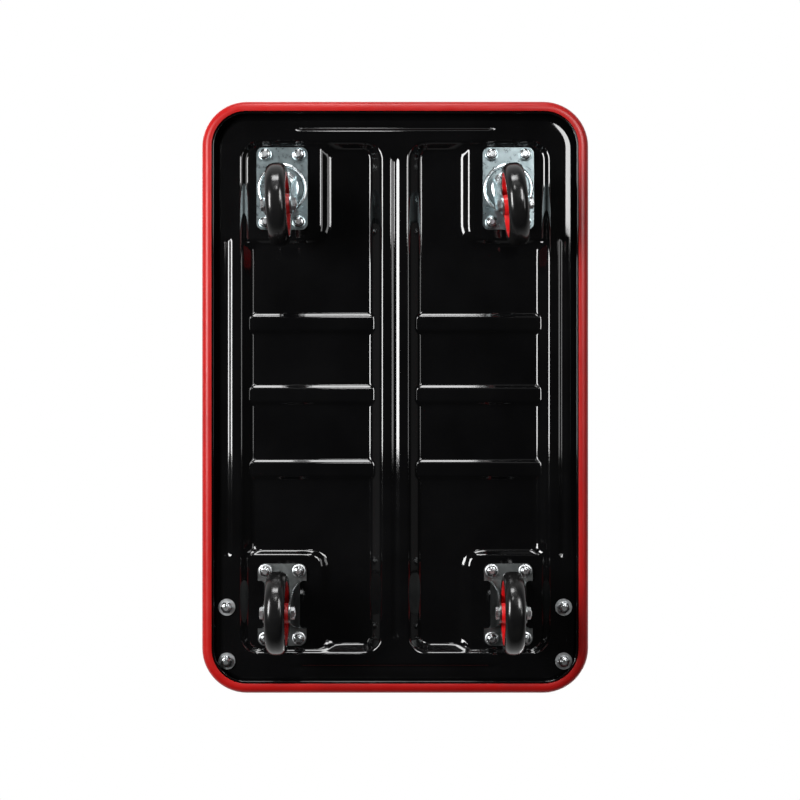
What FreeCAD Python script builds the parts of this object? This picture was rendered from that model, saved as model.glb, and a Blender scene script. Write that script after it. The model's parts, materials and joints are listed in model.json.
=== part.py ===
import FreeCAD, Part
import math
import os

# A folding platform truck: a pressed sheet deck in a soft bumper, on two swivel and two rigid casters,
# with a tubular push handle that folds down over the deck. Millimetres. +Z is up, z = 0 is the floor.
# The origin is under the middle of the deck. +Y is the handle end, so the truck is pushed towards -Y.
# Left is +X, as seen by the person at the handle.

# ---- driving dimensions ------------------------------------------------------------------------------

# Deck: half sizes are measured on the underside of the sheet.
DECK_HALF_X = 237.0
DECK_HALF_Y = 365.0
DECK_CORNER = 52.0
SHEET = 1.5
PANEL_RISE = 13.0          # raised panels over the channel that runs round them
PAD_RISE = 6.0             # caster pads over the same channel
WALL_RUN = 15.0            # how far a panel's sloping side wall travels
END_WALL_RUN = 11.0        # and its end wall
PANEL_CORNER = 24.0        # at the foot of its walls
PANEL_ROOF_CORNER = 14.0
CHANNEL_EDGE = 9.5         # from the skirt to the outer bend of the channel
CROWN_RUN = 5.0            # how far the channel's outer wall travels sideways
CHANNEL_MARGIN = 2.0       # beside a handle bracket, on the channel's flat floor
SPINE_WIDTH = 33.0         # between the two panels
SKIRT_DROP = 12.0          # the skirt's lower edge under the channel
HEM_REACH = 11.4           # how far the skirt's edge turns inwards, from its outer face
HEM_THICKNESS = 3.0        # the sheet folded double
PLATE_IN_X = 19.4          # from a panel's outer foot to the edge of the caster plate
FRONT_PLATE_IN_Y = 7.8     # from its end foot to the swivel caster's plate
REAR_PLATE_IN_Y = 9.6      # and to the rigid caster's
PAD_SPARE_X = 16.1         # from the plate's other edge to the pad's inner wall
PAD_SPARE_Y = 19.5         # how much longer the pad is than the plate
PAD_SIDE_WALL_RUN = 12.0
PAD_END_WALL_RUN = 7.0
PAD_CORNER = 14.0
PAD_ROOF_CORNER = 20.0
RIB_STATIONS = (-93.0, -3.0, 91.0)
RIB_WIDTH = 26.0
RIB_DEPTH = 4.0
RIB_WALL_RUN = 5.0
BEAD_HEIGHT = 3.0
BEAD_WALL_RUN = 2.6
BEAD_END_ROUNDNESS = 0.9   # the end radius, as a share of the bead's half width
CENTRE_BEAD_WIDTH = 12.0
CENTRE_BEAD_END = 18.0     # from the panels' feet
SIDE_BEAD_WIDTH = 12.0
SIDE_BEAD_END = 48.0       # from a handle bracket
END_BEAD_WIDTH = 8.0
END_BEAD_END = 110.0       # from the skirt

# Bumper: a C section pushed over the skirt.
BUMPER_WALL = 4.0
BUMPER_LIP = 3.0
BUMPER_TOP_REACH = 5.5     # how far the top lip reaches in from the skirt's outer face
BUMPER_LOW_REACH = 8.4
BUMPER_ROUND = 2.6

# Mat: lies on the raised panels.
MAT_THICKNESS = 3.0
MAT_MARGIN = 8.0           # past the flat top of the panels
MAT_CORNER = 18.0

# Wheels and casters.
WHEEL_DIAMETER = 100.0
TYRE_WIDTH = 24.0
TYRE_CROWN = 4.0
TYRE_TUCK = 1.0            # how much narrower each side is at the rim
RIM_DIAMETER = 78.0
RIM_WIDTH = 23.0
RIM_THICKNESS = 5.0
WEB_THICKNESS = 6.0
MOULD_TAPER = 1.5          # of the hub and rim towards the web
HUB_DIAMETER = 24.0
HUB_PAST_TYRE = 2.0
SLEEVE_DIAMETER = 12.0
AXLE_DIAMETER = 8.0
CASTER_OVER_WHEEL = 25.0   # from the wheel's top to the top of the caster plate
PLATE_X = 64.0
PLATE_Y = 103.0
PLATE_THICKNESS = 3.0
PLATE_CORNER = 8.0
RIGID_PLATE_X = 61.0
RIGID_CORNER = 9.0
BOLT_EDGE_X = 11.0         # from a swivel plate's edge to a bolt
BOLT_EDGE_Y = 9.0
TRAIL = 29.8               # swivel axis to axle
FORK_SHEET = 2.2
SWIVEL_SPREAD = 2.5        # how much further out the cheeks stand at their top
RIGID_SPREAD = 5.5
FORK_END_RADIUS = 12.0
FORK_BEND_DROP = 6.6       # from a cheek's top to where it bends inwards
FORK_REAR_REACH = 9.0      # of a swivel fork's cheeks past its crown
CROWN_PAST_RACE = 6.0
CROWN_THICKNESS = 3.0
RACE_DIAMETER = 36.0
BALL_DIAMETER = 5.0
BALL_COUNT = 20
RACE_GAP = 3.0             # between the plate and the fork's crown
KINGPIN_DIAMETER = 10.0
KINGPIN_HEAD = 16.0
KINGPIN_HEAD_HEIGHT = 1.5
KINGPIN_FOOT = 22.0
KINGPIN_FOOT_HEIGHT = 3.0
WAIST_HALF_Y = 30.0        # the narrow part of a rigid caster's plate
WAIST_CORNER = 5.0
YAW_LEFT = 5.5             # how far each swivel caster's trailing end stands turned towards +X
YAW_RIGHT = 2.6

# Fasteners.
BOLT_DIAMETER = 8.0
BOLT_HOLE_GAP = 0.5        # radial
HEX_PAST_BOLT = 5.0        # across flats, over the bolt's diameter
HEAD_HEIGHT = 5.3
NUT_HEIGHT = 6.5
THREAD_PAST_NUT = 2.4
FLANGE_DIAMETER = 17.0     # of a caster's nuts
FLANGE_THICKNESS = 1.2
WASHER_DIAMETER = 21.0
WASHER_THICKNESS = 1.6
AXLE_HEAD_HEIGHT = 4.5
AXLE_NUT_HEIGHT = 5.0
AXLE_PAST_NUT = 1.0
HEX_CHAMFER = 0.8

# Handle and its brackets.
HANDLE_OUT = 0.5           # the legs stand this far outside the channel's middle
TUBE_DIAMETER = 25.4
TUBE_WALL = 1.5
HANDLE_SHORT = 22.0        # the folded handle's top bar stops this far inside the skirt
HANDLE_BEND = 70.0
LEG_BELOW_PIVOT = 28.0
PLUG_DEPTH = 11.0
PIVOT_HEIGHT = 24.0        # over the mat
PIVOT_IN = 49.0            # from the channel's outer bend
HANDLE_LEAN = 3.0          # degrees, outwards, against the stop
PIVOT_DIAMETER = 8.0
BRACKET_SHEET = 2.0
BRACKET_FRONT = 57.0       # from the pivot to the bracket's front end
BRACKET_REAR = 37.0
BRACKET_BOLT_FRONT = 43.5  # from the pivot to the front bolt
BRACKET_BOLT_REAR = 24.0
BRACKET_BOSS_RADIUS = 15.0
BRACKET_FLANGE = 8.0       # height of the cheeks' ends over the bracket's base
STOP_BELOW_TUBE = 3.0      # the stop tab's top, under the folded tube

# Clearances.
RUNNING = 0.05             # radial, between a pin or ball and what turns on it
SIDE_GAP = 0.3             # beside parts that turn past each other
STOP_GAP = 0.4

# How far a cutting shape runs past what it cuts.
OVERRUN = 5.0

# ---- what follows from them ----------------------------------------------------------------------------

AXLE_HEIGHT = WHEEL_DIAMETER / 2
CASTER_HEIGHT = WHEEL_DIAMETER + CASTER_OVER_WHEEL
HUB_LENGTH = TYRE_WIDTH + 2 * HUB_PAST_TYRE
BOLT_HOLE = BOLT_DIAMETER + 2 * BOLT_HOLE_GAP
HEX_ACROSS = BOLT_DIAMETER + HEX_PAST_BOLT
BRACKET_INNER = TUBE_DIAMETER / 2 + SIDE_GAP
BRACKET_OUTER = BRACKET_INNER + BRACKET_SHEET
CHANNEL_WIDTH = 2 * (BRACKET_OUTER + CHANNEL_MARGIN)
PAD_TOP = CASTER_HEIGHT + SHEET
CHANNEL_TOP = PAD_TOP - PAD_RISE
CHANNEL_UNDER = CHANNEL_TOP - SHEET
DECK_TOP = CHANNEL_TOP + PANEL_RISE
SKIRT_BOTTOM = CHANNEL_UNDER - SKIRT_DROP
MAT_TOP = DECK_TOP + MAT_THICKNESS
CHANNEL_HALF_X = DECK_HALF_X - CHANNEL_EDGE
CHANNEL_HALF_Y = DECK_HALF_Y - CHANNEL_EDGE
CHANNEL_CORNER = DECK_CORNER - CHANNEL_EDGE
PANEL_FOOT_X = CHANNEL_HALF_X - CHANNEL_WIDTH
PANEL_FOOT_Y = CHANNEL_HALF_Y - CHANNEL_WIDTH
PANEL_INNER_X = SPINE_WIDTH / 2
PAD_SIZE_X = PLATE_IN_X + PLATE_X + PAD_SPARE_X
PAD_SIZE_Y = PLATE_Y + PAD_SPARE_Y
CASTER_X = PANEL_FOOT_X - PLATE_IN_X - PLATE_X / 2
FRONT_CASTER_Y = FRONT_PLATE_IN_Y + PLATE_Y / 2 - PANEL_FOOT_Y
REAR_CASTER_Y = PANEL_FOOT_Y - REAR_PLATE_IN_Y - PLATE_Y / 2
BOLT_PATTERN_X = PLATE_X - 2 * BOLT_EDGE_X
BOLT_PATTERN_Y = PLATE_Y - 2 * BOLT_EDGE_Y
SIDE_BEAD_X = (CHANNEL_HALF_X + PANEL_FOOT_X) / 2
END_BEAD_Y = (CHANNEL_HALF_Y + PANEL_FOOT_Y) / 2
PLATE_UNDER = CASTER_HEIGHT - PLATE_THICKNESS
CROWN_TOP = PLATE_UNDER - RACE_GAP
CROWN_UNDER = CROWN_TOP - CROWN_THICKNESS
CHEEK_INNER = HUB_LENGTH / 2 + SIDE_GAP
CHEEK_OUTER = CHEEK_INNER + FORK_SHEET
CROWN_DIAMETER = RACE_DIAMETER + 2 * CROWN_PAST_RACE
PIVOT_Z = MAT_TOP + PIVOT_HEIGHT
PIVOT_Y = CHANNEL_HALF_Y - PIVOT_IN
HANDLE_X = SIDE_BEAD_X + HANDLE_OUT
HANDLE_REACH = PIVOT_Y + DECK_HALF_Y - HANDLE_SHORT
BRACKET_BASE_TOP = CHANNEL_TOP + BRACKET_SHEET
BRACKET_FRONT_Y = PIVOT_Y - BRACKET_FRONT
BRACKET_REAR_Y = PIVOT_Y + BRACKET_REAR
BRACKET_BOLT_FRONT_Y = PIVOT_Y - BRACKET_BOLT_FRONT
BRACKET_BOLT_REAR_Y = PIVOT_Y + BRACKET_BOLT_REAR
CENTRE_BEAD_HALF = PANEL_FOOT_Y - CENTRE_BEAD_END
SIDE_BEAD_HALF = BRACKET_FRONT_Y - SIDE_BEAD_END
END_BEAD_HALF = DECK_HALF_X - END_BEAD_END
SIDES = {"left": 1, "right": -1}
YAW = {"left": YAW_LEFT, "right": YAW_RIGHT}

X_AXIS = FreeCAD.Vector(1, 0, 0)
Y_AXIS = FreeCAD.Vector(0, 1, 0)
Z_AXIS = FreeCAD.Vector(0, 0, 1)


# ---- small shapes --------------------------------------------------------------------------------------

def point(x, y, z):
    return FreeCAD.Vector(x, y, z)


def rounded_rectangle(x0, x1, y0, y1, radius, z):
    """A closed wire at height z with four round corners."""
    centres = [
        (x1 - radius, y0 + radius, -90),
        (x1 - radius, y1 - radius, 0),
        (x0 + radius, y1 - radius, 90),
        (x0 + radius, y0 + radius, 180),
    ]
    arcs = []
    for x, y, start in centres:
        circle = Part.Circle(point(x, y, z), Z_AXIS, radius)
        arcs.append(Part.Arc(circle, math.radians(start), math.radians(start + 90)).toShape())
    edges = []
    for i, arc in enumerate(arcs):
        following = arcs[(i + 1) % len(arcs)]
        edges.append(arc)
        edges.append(Part.makeLine(arc.Vertexes[-1].Point, following.Vertexes[0].Point))
    return Part.Wire(edges)


def centred_rectangle(half_x, half_y, radius, z):
    return rounded_rectangle(-half_x, half_x, -half_y, half_y, radius, z)


def prism(wire, height):
    return Part.Face(wire).extrude(point(0, 0, height))


def frustum(lower, upper):
    return Part.makeLoft([lower, upper], True, True)


def cylinder(radius, base, axis, length):
    return Part.makeCylinder(radius, length, base, axis)


def tube(outer_radius, inner_radius, base, axis, length):
    return cylinder(outer_radius, base, axis, length).cut(cylinder(inner_radius, base, axis, length))


def polygon(points):
    return Part.Face(Part.makePolygon(points + points[:1]))


def plate_across_x(outline, x0, x1):
    """A flat plate from x0 to x1 with the (y, z) outline given."""
    face = polygon([point(x0, y, z) for y, z in outline])
    return face.extrude(point(x1 - x0, 0, 0))


def fused(shapes):
    whole = shapes[0]
    for shape in shapes[1:]:
        whole = whole.fuse(shape)
    return whole.removeSplitter()


def mirrored_x(shape):
    return shape.mirror(point(0, 0, 0), X_AXIS)


def moved(shape, x, y, z):
    copy = shape.copy()
    copy.translate(point(x, y, z))
    return copy


def tangent_point(outside, centre, radius, side):
    """Where the line from a point outside a circle touches it, on one side or the other."""
    away = math.hypot(outside[0] - centre[0], outside[1] - centre[1])
    heading = math.atan2(outside[1] - centre[1], outside[0] - centre[0])
    angle = heading + side * math.acos(radius / away)
    return (centre[0] + radius * math.cos(angle), centre[1] + radius * math.sin(angle))


def tapered_outline(front, rear, centre, radius):
    """A (y, z) outline that narrows downwards from the edge front-rear to a round end."""
    return [
        front,
        rear,
        tangent_point(rear, centre, radius, -1),
        tangent_point(front, centre, radius, 1),
    ]


def hexagon(across, height, base):
    """A hexagonal prism along +X with chamfered corners at both ends."""
    corner = across / math.sqrt(3)
    points = []
    for i in range(6):
        angle = math.radians(60 * i)
        points.append(point(base.x, base.y + corner * math.cos(angle), base.z + corner * math.sin(angle)))
    block = polygon(points).extrude(point(height, 0, 0))
    limit = cylinder(corner, base, X_AXIS, height)
    return block.common(limit.makeChamfer(HEX_CHAMFER, limit.Edges[0:1] + limit.Edges[2:3]))


def turned_up(shape):
    """Turns a fastener made along +X so that it points along +Z."""
    copy = shape.copy()
    copy.rotate(point(0, 0, 0), Y_AXIS, -90)
    return copy


def bolt(diameter, grip, head_height):
    """Along +X: the head lies past x = 0 on the minus side, and the shank runs to x = grip."""
    head = hexagon(HEX_ACROSS, head_height, point(-head_height, 0, 0))
    shank = cylinder(diameter / 2, point(0, 0, 0), X_AXIS, grip)
    tip = shank.makeChamfer(HEX_CHAMFER, [edge_at_x(shank, grip)])
    return head.fuse(tip).removeSplitter()


def edge_at_x(shape, x):
    for edge in shape.Edges:
        box = edge.BoundBox
        if abs(box.XMin - x) < 1e-6 and abs(box.XMax - x) < 1e-6:
            return edge
    raise ValueError("no edge there")


def nut(diameter, height):
    block = hexagon(HEX_ACROSS, height, point(0, 0, 0))
    return block.cut(cylinder(diameter / 2, point(0, 0, 0), X_AXIS, height))


# ---- deck ----------------------------------------------------------------------------------------------

def bend_shift(rise, run):
    """How far a bend's line moves sideways through the full sheet."""
    return SHEET * math.tan(math.atan2(rise, run) / 2)


def raised_panel(side, level, top, grow):
    shift = grow * bend_shift(PANEL_RISE, WALL_RUN)
    x_foot = sorted((side * (PANEL_INNER_X - shift), side * (PANEL_FOOT_X + shift)))
    x_roof = sorted((side * (PANEL_INNER_X + WALL_RUN - shift), side * (PANEL_FOOT_X - WALL_RUN + shift)))
    y_foot = PANEL_FOOT_Y + grow * bend_shift(PANEL_RISE, END_WALL_RUN)
    y_roof = y_foot - END_WALL_RUN
    lower = rounded_rectangle(x_foot[0], x_foot[1], -y_foot, y_foot, PANEL_CORNER, level)
    upper = rounded_rectangle(x_roof[0], x_roof[1], -y_roof, y_roof, PANEL_ROOF_CORNER, top)
    return frustum(lower, upper)


def pad_pocket(side, end, level, top, grow):
    """What is taken off a panel's outer corner to leave the caster's pad."""
    rise = PANEL_RISE - PAD_RISE
    x_in = PANEL_FOOT_X - PAD_SIZE_X + grow * bend_shift(rise, PAD_SIDE_WALL_RUN)
    y_in = PANEL_FOOT_Y - PAD_SIZE_Y + grow * bend_shift(rise, PAD_END_WALL_RUN)
    x_out = PANEL_FOOT_X + OVERRUN
    y_out = PANEL_FOOT_Y + OVERRUN
    wires = []
    for travel, radius, z in ((0, PAD_CORNER, level), (1, PAD_ROOF_CORNER, top)):
        xs = sorted((side * (x_in - travel * PAD_SIDE_WALL_RUN), side * x_out))
        ys = sorted((end * (y_in - travel * PAD_END_WALL_RUN), end * y_out))
        wires.append(rounded_rectangle(xs[0], xs[1], ys[0], ys[1], radius, z))
    return frustum(wires[0], wires[1])


def rib_groove(side, station, top, grow):
    """A shallow groove across one panel."""
    shift = grow * bend_shift(RIB_DEPTH, RIB_WALL_RUN)
    half_top = RIB_WIDTH / 2 - shift
    half_low = half_top - RIB_WALL_RUN
    outline = [
        (station - half_low, top - RIB_DEPTH),
        (station + half_low, top - RIB_DEPTH),
        (station + half_top, top),
        (station - half_top, top),
    ]
    ends = sorted((side * PANEL_INNER_X / 2, side * (PANEL_FOOT_X + CHANNEL_WIDTH / 2)))
    return plate_across_x(outline, ends[0], ends[1])


def bead(x, y, half_x, half_y, level, grow):
    """A narrow ridge raised from the channel."""
    shift = grow * bend_shift(BEAD_HEIGHT, BEAD_WALL_RUN)
    wires = []
    for run, z in ((0.0, level), (BEAD_WALL_RUN, level + BEAD_HEIGHT)):
        reach_x = half_x + shift - run
        reach_y = half_y + shift - run
        radius = BEAD_END_ROUNDNESS * min(reach_x, reach_y)
        wires.append(rounded_rectangle(x - reach_x, x + reach_x, y - reach_y, y + reach_y, radius, z))
    return frustum(wires[0], wires[1])


def channel_outline(grow, past, z):
    """The edge of the channel's floor, or an outline some way past it."""
    shift = grow * bend_shift(PANEL_RISE, CROWN_RUN) - past
    return centred_rectangle(CHANNEL_HALF_X - shift, CHANNEL_HALF_Y - shift, CHANNEL_CORNER + past, z)


def deck_volume(depth):
    """All that lies under a skin this deep in the sheet, down to the skirt's edge or just past it."""
    grow = (SHEET - depth) / SHEET
    top = DECK_TOP - depth
    level = CHANNEL_TOP - depth
    bottom = SKIRT_BOTTOM - depth
    outline = centred_rectangle(DECK_HALF_X - depth, DECK_HALF_Y - depth, DECK_CORNER - depth, bottom)
    body = prism(outline, top - bottom)
    moat = frustum(channel_outline(grow, 0.0, level), channel_outline(grow, CROWN_RUN, top))
    body = body.cut(moat)
    for side in SIDES.values():
        panel = raised_panel(side, level, top, grow)
        for end in (-1, 1):
            panel = panel.cut(pad_pocket(side, end, PAD_TOP - depth, top, grow))
        for station in RIB_STATIONS:
            panel = panel.cut(rib_groove(side, station, top, grow))
        body = body.fuse(panel)
        side_bead = bead(side * SIDE_BEAD_X, 0, SIDE_BEAD_WIDTH / 2, SIDE_BEAD_HALF, level, grow)
        body = body.fuse(side_bead)
    for end in (-1, 1):
        body = body.fuse(bead(0, end * END_BEAD_Y, END_BEAD_HALF, END_BEAD_WIDTH / 2, level, grow))
    body = body.fuse(bead(0, 0, CENTRE_BEAD_WIDTH / 2, CENTRE_BEAD_HALF, level, grow))
    return body.removeSplitter()


def caster_bolt_places():
    places = []
    for side in SIDES.values():
        for y in (FRONT_CASTER_Y, REAR_CASTER_Y):
            for dx in (-BOLT_PATTERN_X / 2, BOLT_PATTERN_X / 2):
                for dy in (-BOLT_PATTERN_Y / 2, BOLT_PATTERN_Y / 2):
                    places.append((side * CASTER_X + dx, y + dy))
    return places


def bracket_bolt_places():
    places = []
    for side in SIDES.values():
        for y in (BRACKET_BOLT_FRONT_Y, BRACKET_BOLT_REAR_Y):
            places.append((side * HANDLE_X, y))
    return places


def hem():
    """The skirt's lower edge, folded inwards over the bumper's lower lip."""
    outer = centred_rectangle(DECK_HALF_X - SHEET, DECK_HALF_Y - SHEET, DECK_CORNER - SHEET, SKIRT_BOTTOM)
    inner = centred_rectangle(
        DECK_HALF_X - HEM_REACH, DECK_HALF_Y - HEM_REACH, DECK_CORNER - HEM_REACH, SKIRT_BOTTOM
    )
    return prism(outer, HEM_THICKNESS).cut(prism(inner, HEM_THICKNESS))


def deck():
    sheet = deck_volume(0.0).cut(deck_volume(SHEET)).fuse(hem())
    drills = []
    for x, y in caster_bolt_places() + bracket_bolt_places():
        drills.append(cylinder(BOLT_HOLE / 2, point(x, y, CHANNEL_UNDER), Z_AXIS, PANEL_RISE))
    return sheet.cut(Part.makeCompound(drills))


def bumper():
    low = SKIRT_BOTTOM - BUMPER_LIP
    height = MAT_TOP - low
    outer = prism(
        centred_rectangle(
            DECK_HALF_X + BUMPER_WALL, DECK_HALF_Y + BUMPER_WALL, DECK_CORNER + BUMPER_WALL, low
        ),
        height,
    )
    rims = []
    for edge in outer.Edges:
        box = edge.BoundBox
        if box.ZLength < 1e-6:
            rims.append(edge)
    outer = outer.makeFillet(BUMPER_ROUND, rims)
    core = prism(
        centred_rectangle(DECK_HALF_X, DECK_HALF_Y, DECK_CORNER, SKIRT_BOTTOM), DECK_TOP - SKIRT_BOTTOM
    )
    upper = prism(
        centred_rectangle(
            DECK_HALF_X - BUMPER_TOP_REACH, DECK_HALF_Y - BUMPER_TOP_REACH,
            DECK_CORNER - BUMPER_TOP_REACH, DECK_TOP,
        ),
        MAT_THICKNESS,
    )
    lower = prism(
        centred_rectangle(
            DECK_HALF_X - BUMPER_LOW_REACH, DECK_HALF_Y - BUMPER_LOW_REACH,
            DECK_CORNER - BUMPER_LOW_REACH, low,
        ),
        BUMPER_LIP,
    )
    return outer.cut(core).cut(upper).cut(lower)


def deck_mat():
    half_x = PANEL_FOOT_X - WALL_RUN + MAT_MARGIN
    half_y = PANEL_FOOT_Y - END_WALL_RUN + MAT_MARGIN
    return prism(centred_rectangle(half_x, half_y, MAT_CORNER, DECK_TOP), MAT_THICKNESS)


# ---- casters, each made round its own vertical axis at x = y = 0 ------------------------------------------

def plate_blank(width, corner):
    wire = centred_rectangle(width / 2, PLATE_Y / 2, corner, PLATE_UNDER)
    plate = prism(wire, PLATE_THICKNESS)
    for dx in (-BOLT_PATTERN_X / 2, BOLT_PATTERN_X / 2):
        for dy in (-BOLT_PATTERN_Y / 2, BOLT_PATTERN_Y / 2):
            hole = cylinder(BOLT_HOLE / 2, point(dx, dy, PLATE_UNDER), Z_AXIS, PLATE_THICKNESS)
            plate = plate.cut(hole)
    return plate


def race_groove():
    height = PLATE_UNDER - RACE_GAP / 2
    return Part.makeTorus(RACE_DIAMETER / 2, BALL_DIAMETER / 2 + RUNNING, point(0, 0, height), Z_AXIS)


def swivel_plate():
    plate = plate_blank(PLATE_X, PLATE_CORNER).cut(race_groove())
    plate = plate.cut(cylinder(KINGPIN_DIAMETER / 2, point(0, 0, PLATE_UNDER), Z_AXIS, PLATE_THICKNESS))
    head_base = point(0, 0, CASTER_HEIGHT - KINGPIN_HEAD_HEIGHT)
    return plate.cut(cylinder(KINGPIN_HEAD / 2, head_base, Z_AXIS, KINGPIN_HEAD_HEIGHT))


def kingpin():
    foot_top = CROWN_UNDER - SIDE_GAP
    foot_base = point(0, 0, foot_top - KINGPIN_FOOT_HEIGHT)
    foot = cylinder(KINGPIN_FOOT / 2, foot_base, Z_AXIS, KINGPIN_FOOT_HEIGHT)
    shank = cylinder(KINGPIN_DIAMETER / 2, point(0, 0, foot_top), Z_AXIS, CASTER_HEIGHT - foot_top)
    head_base = point(0, 0, CASTER_HEIGHT - KINGPIN_HEAD_HEIGHT)
    head = cylinder(KINGPIN_HEAD / 2, head_base, Z_AXIS, KINGPIN_HEAD_HEIGHT)
    return fused([foot, shank, head])


def swivel_balls():
    balls = []
    for i in range(BALL_COUNT):
        angle = math.radians(360.0 * i / BALL_COUNT)
        x = RACE_DIAMETER / 2 * math.cos(angle)
        y = RACE_DIAMETER / 2 * math.sin(angle)
        balls.append(Part.makeSphere(BALL_DIAMETER / 2, point(x, y, PLATE_UNDER - RACE_GAP / 2)))
    return Part.makeCompound(balls)


def cheek(top, spread, front_y, rear_y, axle_y):
    """One side of a fork, bent in under its top so that it stands close to the hub."""
    bend_top = top - FORK_BEND_DROP
    bend_low = AXLE_HEIGHT + RIM_DIAMETER / 2
    top_x = CHEEK_OUTER + spread
    bottom = AXLE_HEIGHT - FORK_END_RADIUS
    outer = [(CHEEK_OUTER, bottom), (CHEEK_OUTER, bend_low), (top_x, bend_top), (top_x, top)]
    inner = [(x - FORK_SHEET, z) for x, z in reversed(outer)]
    first_y = min(front_y, axle_y - FORK_END_RADIUS)
    last_y = max(rear_y, axle_y + FORK_END_RADIUS)
    section = polygon([point(x, first_y, z) for x, z in outer + inner])
    bent = section.extrude(point(0, last_y - first_y, 0))
    outline = tapered_outline((front_y, top), (rear_y, top), (axle_y, AXLE_HEIGHT), FORK_END_RADIUS)
    axle = point(0, axle_y, AXLE_HEIGHT)
    blade = plate_across_x(outline, 0, top_x).fuse(cylinder(FORK_END_RADIUS, axle, X_AXIS, top_x))
    return bent.common(blade.cut(cylinder(AXLE_DIAMETER / 2, axle, X_AXIS, top_x)))


def swivel_fork():
    crown = cylinder(CROWN_DIAMETER / 2, point(0, 0, CROWN_UNDER), Z_AXIS, CROWN_THICKNESS)
    top_x = CHEEK_OUTER + SWIVEL_SPREAD
    reach = math.sqrt((CROWN_DIAMETER / 2) ** 2 - top_x ** 2)
    rear = reach + FORK_REAR_REACH
    side = cheek(CROWN_UNDER + FORK_SHEET, SWIVEL_SPREAD, -reach, rear, TRAIL)
    shoulder = Part.makeBox(2 * top_x, rear, FORK_SHEET, point(-top_x, 0, CROWN_UNDER))
    fork = fused([crown, shoulder, side, mirrored_x(side)])
    fork = fork.cut(race_groove())
    bore = cylinder(KINGPIN_DIAMETER / 2 + RUNNING, point(0, 0, CROWN_UNDER), Z_AXIS, CROWN_THICKNESS)
    return fork.cut(bore)


def rigid_fork():
    plate = plate_blank(RIGID_PLATE_X, RIGID_CORNER)
    for side in SIDES.values():
        xs = sorted((side * (CHEEK_OUTER + RIGID_SPREAD), side * PLATE_X))
        notch = rounded_rectangle(xs[0], xs[1], -WAIST_HALF_Y, WAIST_HALF_Y, WAIST_CORNER, PLATE_UNDER)
        plate = plate.cut(prism(notch, PLATE_THICKNESS))
    side = cheek(PLATE_UNDER + FORK_SHEET, RIGID_SPREAD, -WAIST_HALF_Y, WAIST_HALF_Y, 0.0)
    return fused([plate, side, mirrored_x(side)])


def wheel_centre(axle_y):
    """The moulded centre: rim, web and hub in one piece."""
    half_rim = RIM_WIDTH / 2
    rim_out = RIM_DIAMETER / 2
    rim_in = rim_out - RIM_THICKNESS
    half_web = WEB_THICKNESS / 2
    hub_out = HUB_DIAMETER / 2
    half_hub = HUB_LENGTH / 2
    bore = SLEEVE_DIAMETER / 2 + RUNNING
    half = [
        (bore, half_hub), (hub_out, half_hub), (hub_out + MOULD_TAPER, half_web),
        (rim_in - MOULD_TAPER, half_web), (rim_in, half_rim), (rim_out, half_rim),
    ]
    section = half + [(r, -x) for r, x in reversed(half)]
    face = polygon([point(x, 0, r) for r, x in section])
    return moved(face.revolve(point(0, 0, 0), X_AXIS, 360), 0, axle_y, AXLE_HEIGHT)


def tyre(axle_y):
    half = TYRE_WIDTH / 2
    inner = RIM_DIAMETER / 2
    outer = WHEEL_DIAMETER / 2
    shoulder = outer - TYRE_CROWN
    side = [point(half, 0, shoulder), point(half - TYRE_TUCK, 0, inner)]
    corners = side + [point(-corner.x, 0, corner.z) for corner in reversed(side)]
    edges = [Part.makeLine(a, b) for a, b in zip(corners, corners[1:])]
    tread = Part.Arc(point(-half, 0, shoulder), point(0, 0, outer), point(half, 0, shoulder)).toShape()
    face = Part.Face(Part.Wire(edges + [tread]))
    return moved(face.revolve(point(0, 0, 0), X_AXIS, 360), 0, axle_y, AXLE_HEIGHT)


def axle_sleeve(axle_y):
    base = point(-CHEEK_INNER, axle_y, AXLE_HEIGHT)
    return tube(SLEEVE_DIAMETER / 2, AXLE_DIAMETER / 2, base, X_AXIS, 2 * CHEEK_INNER)


def axle_bolt(axle_y):
    grip = 2 * CHEEK_OUTER + AXLE_NUT_HEIGHT + AXLE_PAST_NUT
    return moved(bolt(AXLE_DIAMETER, grip, AXLE_HEAD_HEIGHT), -CHEEK_OUTER, axle_y, AXLE_HEIGHT)


def axle_nut(axle_y):
    return moved(nut(AXLE_DIAMETER, AXLE_NUT_HEIGHT), CHEEK_OUTER, axle_y, AXLE_HEIGHT)


def wheel_parts(axle_y, place):
    return {
        "tyre_" + place: tyre(axle_y),
        "wheel_centre_" + place: wheel_centre(axle_y),
        "axle_sleeve_" + place: axle_sleeve(axle_y),
        "axle_bolt_" + place: axle_bolt(axle_y),
        "axle_nut_" + place: axle_nut(axle_y),
    }


def placed(parts, x, y, yaw):
    out = {}
    for name, shape in parts.items():
        copy = shape.copy()
        copy.rotate(point(0, 0, 0), Z_AXIS, -yaw)
        copy.translate(point(x, y, 0))
        out[name] = copy
    return out


def swivel_caster(side_name):
    x = SIDES[side_name] * CASTER_X
    place = "front_" + side_name
    fixed = {"swivel_plate_" + side_name: swivel_plate(), "kingpin_" + side_name: kingpin()}
    turning = {"swivel_fork_" + side_name: swivel_fork(), "swivel_balls_" + side_name: swivel_balls()}
    turning.update(wheel_parts(TRAIL, place))
    return {**placed(fixed, x, FRONT_CASTER_Y, 0), **placed(turning, x, FRONT_CASTER_Y, YAW[side_name])}


def rigid_caster(side_name):
    parts = {"rigid_fork_" + side_name: rigid_fork()}
    parts.update(wheel_parts(0.0, "rear_" + side_name))
    return placed(parts, SIDES[side_name] * CASTER_X, REAR_CASTER_Y, 0)


# ---- fasteners through the deck ---------------------------------------------------------------------------

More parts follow.
